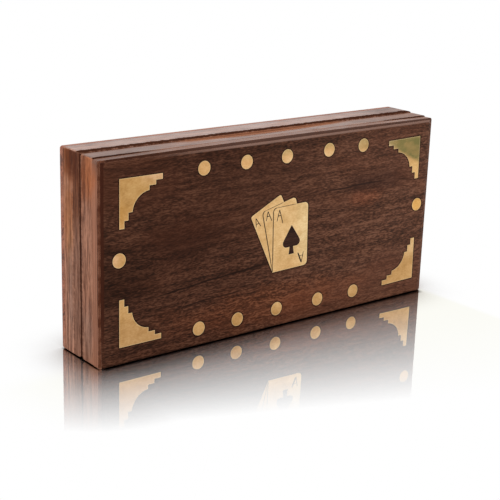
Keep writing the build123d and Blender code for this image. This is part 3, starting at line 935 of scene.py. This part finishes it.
def surfacePiece(name, points, quads, body, material):
    # A mesh from rows of points and rows of four corner numbers, riding on a body
    mesh = bpy.data.meshes.new(name)
    mesh.from_pydata(points.reshape(-1, 3).tolist(), [], quads.reshape(-1, 4).tolist())
    mesh.shade_smooth()
    piece = addObject(name, mesh)
    giveFinish(piece, material)
    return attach(piece, body)


def gridQuads(rows, columns):
    # Corner numbers of every cell of a grid, counted along its rows
    start = np.arange(rows - 1)[:, None] * columns + np.arange(columns - 1)
    return np.stack([start, start + 1, start + columns + 1, start + columns], axis=-1)


feltPieces = {
    "felt_lining_left": {"node": "bay_felt_left", "body": "base", "on": "base_panel"},
    "felt_lining_right": {"node": "bay_felt_right", "body": "base", "on": "base_panel"},
    "felt_lining_lid": {"node": "lid_felt", "body": "lid", "on": "lid_panel"},
}
feltShape = {
    "cell": 1.5 * mm,
    "thickness": 0.9 * mm,
    "unevenness": 0.04 * mm,
    "ripples": (0.21, 0.17, 0.09),   # along x, along z and aslant, in radians per mm
    "start": 0.7,
}


def layFelt(name, plan, shape):
    # Sheet over the node's box: y is the mid depth plus two crossed sine ripples, and Solidify gives
    # it its thickness
    low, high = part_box(plan["node"])
    columns = int((high.x - low.x) / shape["cell"]) + 1
    rows = int((high.z - low.z) / shape["cell"]) + 1
    x, z = np.meshgrid(np.linspace(low.x, high.x, columns), np.linspace(low.z, high.z, rows))
    rippleX, rippleZ, aslant = shape["ripples"]
    ripple = np.sin(x / mm * rippleX + shape["start"]) * np.cos(z / mm * rippleZ)
    ripple += np.sin((x + 2 * z) / mm * aslant)
    y = (low.y + high.y) / 2 + shape["unevenness"] / 2 * ripple
    piece = surfacePiece(name, np.stack([x, y, z], axis=-1), gridQuads(rows, columns),
                         plan["body"], feltCloth)
    thick = piece.modifiers.new("thickness", "SOLIDIFY")
    thick.thickness = shape["thickness"]
    thick.offset = 0
    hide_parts(plan["node"])


for name, plan in feltPieces.items():
    layFelt(name, plan, feltShape)
print("felt linings laid")

fan = {   # cards from the front: turn in degrees; height, corner and end of the engraved top edge in mm
    "pivot": (-3.8, 28.4),
    "cards": [
        {"turn": 1.5, "height": 32.4, "corner": 2.2, "topEnd": 14.4},
        {"turn": 13.7, "height": 32.4, "corner": 2.0, "topEnd": 13.3},
        {"turn": 26.0},
    ],
}
engraving = {   # in mm, strokes in a card's own frame, from its lower left corner
    "rise": 0.03,
    "lift": 0.005,
    "edgeWidth": 0.5,
    "topWidth": 0.26,
    "foot": 0.4,
    "steps": 12,
    "columns": 5,
    "taper": 8,   # one over the share of a stroke that narrows at each end
    "endWidth": 0.5,
    "letters": [   # card number, both ends and width: left, right and bar of each letter
        (0, (3.9, 31.2), (2.3, 25.5), 0.46),
        (0, (3.9, 31.2), (6.0, 24.0), 0.46),
        (0, (2.9, 28.2), (5.0, 28.1), 0.4),
        (1, (3.4, 31.6), (1.5, 27.2), 0.46),
        (1, (3.4, 31.6), (4.7, 26.0), 0.46),
        (1, (2.1, 29.2), (4.2, 28.9), 0.4),
        (2, (2.4, 31.2), (0.7, 26.9), 0.42),
        (2, (2.4, 31.2), (3.4, 25.8), 0.42),
        (2, (1.1, 28.3), (3.0, 27.9), 0.36),
        (0, (18.4, 1.7), (16.0, 7.2), 0.8),
        (0, (18.4, 1.7), (19.6, 7.2), 0.4),
        (0, (16.8, 5.3), (19.2, 5.4), 0.3),
    ],
}
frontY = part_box("card_fan_inlay")[0].y


def onCard(points, card):
    # Turns card points about the shared corner and sets them on the lid's face, in metres
    angle = math.radians(fan["cards"][card]["turn"])
    turn = np.array([[math.cos(angle), math.sin(angle)], [-math.sin(angle), math.cos(angle)]])
    return (np.asarray(points, float) @ turn + np.array(fan["pivot"])) * mm


def ribbon(path, width, shape):
    # A low rounded bead along a path: across it s runs from -1 to 1, the point is path + s * half width
    # * side, and the height is lift + rise * (1 - s * s). The ends narrow over the first and last steps.
    ahead = np.gradient(path, axis=0)
    ahead /= np.linalg.norm(ahead, axis=1, keepdims=True)
    side = np.stack([-ahead[:, 1], ahead[:, 0]], axis=1)
    across = np.linspace(-1, 1, shape["columns"])
    along = np.linspace(0, 1, len(path))
    full = np.clip(np.minimum(along, 1 - along) * shape["taper"], 0, 1)
    taper = full * (1 - shape["endWidth"]) + shape["endWidth"]
    reach = across[None, :, None] * (taper * width * mm / 2)[:, None, None]
    flat = path[:, None, :] + side[:, None, :] * reach
    bead = shape["rise"] * mm * (1 - across ** 2) * np.ones((len(path), 1))
    points = np.stack([flat[..., 0], frontY - bead - shape["lift"] * mm, flat[..., 1]], axis=-1)
    return points, gridQuads(len(path), len(across))[..., ::-1]


def straight(start, end, steps):
    share = np.linspace(0, 1, steps)[:, None]
    return np.asarray(start) + (np.asarray(end) - np.asarray(start)) * share


def edgeLine(corner, height, foot, steps):
    # Up a card's left edge from a little above its foot, then a quarter circle round its corner
    turn = np.linspace(math.pi, math.pi / 2, steps)
    bend = np.stack([corner + corner * np.cos(turn), height - corner + corner * np.sin(turn)], axis=1)
    return np.concatenate([straight((0, foot), (0, height - corner), steps)[:-1], bend])


def engraveFan(shape):
    steps = shape["steps"]
    strokes = []
    for number, start, end, width in shape["letters"]:
        strokes.append((onCard(straight(start, end, steps), number), width))
    edged = [card for card in fan["cards"] if "topEnd" in card]
    for number, card in enumerate(edged):
        corner, height = card["corner"], card["height"]
        line = edgeLine(corner, height, shape["foot"], steps)
        strokes.append((onCard(line, number), shape["edgeWidth"]))
        top = straight((corner, height), (card["topEnd"], height), steps)
        strokes.append((onCard(top, number), shape["topWidth"]))
    points, quads, count = [], [], 0
    for path, width in strokes:
        rows, cells = ribbon(path, width, shape)
        points.append(rows.reshape(-1, 3))
        quads.append(cells.reshape(-1, 4) + count)
        count += rows.shape[0] * rows.shape[1]
    surfacePiece("card_engraving", np.concatenate(points), np.concatenate(quads), "lid", engravingWax)


engraveFan(engraving)
print("card fan engraved")


# Stage: floor, world, lights and camera

floorLook = {
    "size": 12.0,
    "drop": 0.0001,
    "white": (1, 1, 1, 1),
    "bounce": (0.8, 0.8, 0.8, 1),
    "shade": paint(178, 169, 164),
    "shadeReach": 0.03,
    "shadeSpan": (0.35, 1.0),
    "samples": 16,
    "openReach": 0.12,   # how far below the floor an opened lid is looked for
    "emptySpan": (0.85, 1.0),
    # Colour of the painted contact shadow
    "contact": paint(16, 12, 10),
    "contactEnds": 0.0009,
    "contactFront": (0.0028, 0.005),   # at the left and right ends of the box
    "contactMargin": 0.004,   # how far before each corner the line fades
    "contactBack": (-0.002, 0.0),
    "contactLeft": (0.4, 0.6),   # share of the length past which the ends have no line
    "mirror": 0.98,
    "mirrorReach": (0.063, 0.146),   # at the left and right ends of the box
    "mirrorBow": (1.06, 1.32),
    "mirrorTint": (0.97, 0.965, 0.9, 1),
    "tintLeft": (-0.17, -0.13),   # the tint lies only in front of the box, where its image is
    "tintRight": (0.1, 0.106),
    "tintBack": (-0.02, 0.0),
    "polish": 0.02,
}


def contactShadow(tree, axes, toRight, look):
    # Painted contact shadow, nearly black along the foot of the front, and along the left end
    fromMiddle = absolute(tree, axes["X"])
    halfLength, halfDepth, margin = cadBox[1].x, cadBox[1].y, look["contactMargin"]
    width = spread(tree, toRight, 0.0, 1.0, *look["contactFront"])
    off = calc(tree, "DIVIDE", calc(tree, "SUBTRACT", cadBox[0].y, axes["Y"]), width)
    under = fade(tree, fromMiddle, halfLength - margin, halfLength)
    inFront = fade(tree, axes["Y"], *look["contactBack"])
    alongFront = times(tree, fade(tree, off, 0.0, 1.0), under, inFront)
    off = calc(tree, "SUBTRACT", fromMiddle, halfLength)
    beside = fade(tree, absolute(tree, axes["Y"]), halfDepth - margin, halfDepth)
    onLeft = fade(tree, toRight, *look["contactLeft"])
    alongEnds = times(tree, fade(tree, off, 0.0, look["contactEnds"]), beside, onLeft)
    return largest(tree, alongFront, alongEnds)


def mirrorShare(tree, axes, toRight, look):
    # Distance from the box's footprint fades the mirror image, sooner at the left than at the right
    apart = []
    for axis, reach in (("X", cadBox[1].x), ("Y", cadBox[1].y)):
        outside = calc(tree, "SUBTRACT", absolute(tree, axes[axis]), reach)
        apart.append(calc(tree, "POWER", largest(tree, outside, 0.0), 2.0))
    distance = calc(tree, "SQRT", calc(tree, "ADD", *apart))
    reach = spread(tree, toRight, 0.0, 1.0, *look["mirrorReach"], smooth=False)
    bow = spread(tree, toRight, 0.0, 1.0, *look["mirrorBow"])
    share = calc(tree, "POWER", calc(tree, "DIVIDE", distance, reach), bow)
    return spread(tree, share, 0.0, 1.0, look["mirror"], 0.0, smooth=False)


def openness(tree, distance, samples, inside=False):
    # One where nothing is near, above the floor or, with inside, below it
    node = addNode(tree, "AmbientOcclusion", {"Distance": distance}, samples=samples, inside=inside)
    return node.outputs["AO"]


def makeFloor(look):
    # A flat sheet a little under the box, so that it never fights with the wood
    half = look["size"] / 2
    corners = np.array([[-half, -half], [half, -half], [half, half], [-half, half]])
    points = np.column_stack([corners, np.full(4, cadBox[0].z - look["drop"])])
    mesh = bpy.data.meshes.new("floor")
    mesh.from_pydata(points.tolist(), [], [(0, 1, 2, 3)])
    floor = addObject("floor", mesh)
    material = bpy.data.materials.new("whiteFloor")
    material.use_nodes = True
    tree = material.node_tree
    tree.nodes.clear()
    axes = axesOf(tree, addNode(tree, "NewGeometry").outputs["Position"])
    toRight = spread(tree, axes["X"], cadBox[0].x, cadBox[1].x, smooth=False)
    # The opened lid reaches below the floor; there the floor is clear, with no mirror and no contact line
    below = openness(tree, look["openReach"], look["samples"], inside=True)
    empty = spread(tree, below, *look["emptySpan"])
    mirror = times(tree, mirrorShare(tree, axes, toRight, look), empty)
    touching = times(tree, contactShadow(tree, axes, toRight, look), empty)
    # Nearness of the box shades the white
    lit = spread(tree, openness(tree, look["shadeReach"], look["samples"]), *look["shadeSpan"])
    shaded = mixColour(tree, lit, look["shade"], look["white"])
    shaded = mixColour(tree, touching, shaded, look["contact"])
    imaged = times(
        tree,
        spread(tree, axes["X"], *look["tintLeft"]),
        fade(tree, axes["X"], *look["tintRight"]),
        fade(tree, axes["Y"], *look["tintBack"]),
    )
    tinted = tint(tree, imaged, shaded, look["mirrorTint"])
    clear = addNode(tree, "BsdfTransparent", {"Color": shaded}).outputs[0]
    gloss = addNode(tree, "BsdfAnisotropic", {"Color": tinted, "Roughness": look["polish"]}).outputs[0]
    bounce = addNode(tree, "BsdfDiffuse", {"Color": look["bounce"]}).outputs[0]
    rays = addNode(tree, "LightPath").outputs
    kinds = ("Is Glossy Ray", "Is Transmission Ray", "Is Shadow Ray", "Is Camera Ray")
    seen = largest(tree, *(rays[kind] for kind in kinds))
    mirror = times(tree, mirror, rays["Is Camera Ray"])
    polished = addNode(tree, "MixShader", {0: mirror, 1: clear, 2: gloss}).outputs[0]
    surface = addNode(tree, "MixShader", {0: seen, 1: bounce, 2: polished}).outputs[0]
    addNode(tree, "OutputMaterial", {"Surface": surface})
    mesh.materials.append(material)


makeFloor(floorLook)

worldLook = {"colour": (1, 1, 1, 1), "fill": 0.42}


def makeWorld(look):
    # White to the camera and in reflections, and a plain soft fill for everything else
    world = bpy.data.worlds.new("studio")
    bpy.context.scene.world = world
    world.use_nodes = True
    tree = world.node_tree
    rays = addNode(tree, "LightPath").outputs
    kinds = ("Is Camera Ray", "Is Glossy Ray", "Is Transmission Ray")
    seen = largest(tree, *(rays[kind] for kind in kinds))
    strength = spread(tree, seen, 0.0, 1.0, look["fill"], 1.0, smooth=False)
    feed(tree, tree.nodes["Background"], {"Color": look["colour"], "Strength": strength})


makeWorld(worldLook)

lampTarget = (0, 0, 0.05)
lamps = {   # place in metres, power in watts, size in metres
    "leftLamp": {"place": (-1.0, -0.1, 0.55), "power": 8.0, "size": 1.0},
    "topLamp": {"place": (0.15, 0.35, 1.1), "power": 6.6, "size": 1.2},
    "frontLamp": {"place": (-0.1, -0.95, 1.1), "power": 7.6, "size": 1.2},
}


def hangLamp(name, look):
    data = bpy.data.lights.new(name, "AREA")
    data.energy = look["power"]
    data.size = look["size"]
    lamp = addObject(name, data)
    lamp.location = look["place"]
    ahead = Vector(lampTarget) - Vector(look["place"])
    lamp.rotation_euler = ahead.to_track_quat("-Z", "Y").to_euler()


for name, look in lamps.items():
    hangLamp(name, look)

cameraLook = {   # place in metres, angles in degrees, lens and sensor in mm
    "place": (-0.3606, -0.4421, 0.2076),
    "yaw": 38.84,
    "pitch": 16.85,
    "roll": 1.835,
    "lens": 86.1,
    "sensor": 36,
    "clipStart": 0.01,
}


def makeCamera(look):
    # Looks along yaw from +Y and pitch below the horizon, then rolls about its own axis
    data = bpy.data.cameras.new("camera")
    data.lens = look["lens"]
    data.sensor_width = look["sensor"]
    data.clip_start = look["clipStart"]
    camera = addObject("camera", data)
    yaw, pitch, roll = (math.radians(look[key]) for key in ("yaw", "pitch", "roll"))
    ahead = Vector((math.sin(yaw) * math.cos(pitch), math.cos(yaw) * math.cos(pitch), -math.sin(pitch)))
    right = Vector((math.cos(yaw), -math.sin(yaw), 0))
    up = right.cross(ahead)
    rolledRight = right * math.cos(roll) + up * math.sin(roll)
    rolledUp = up * math.cos(roll) - right * math.sin(roll)
    turn = Matrix((rolledRight, rolledUp, -ahead)).transposed()
    camera.matrix_world = Matrix.Translation(look["place"]) @ turn.to_4x4()
    bpy.context.scene.camera = camera


makeCamera(cameraLook)
bpy.context.scene.view_settings.view_transform = "Standard"
print("stage set")
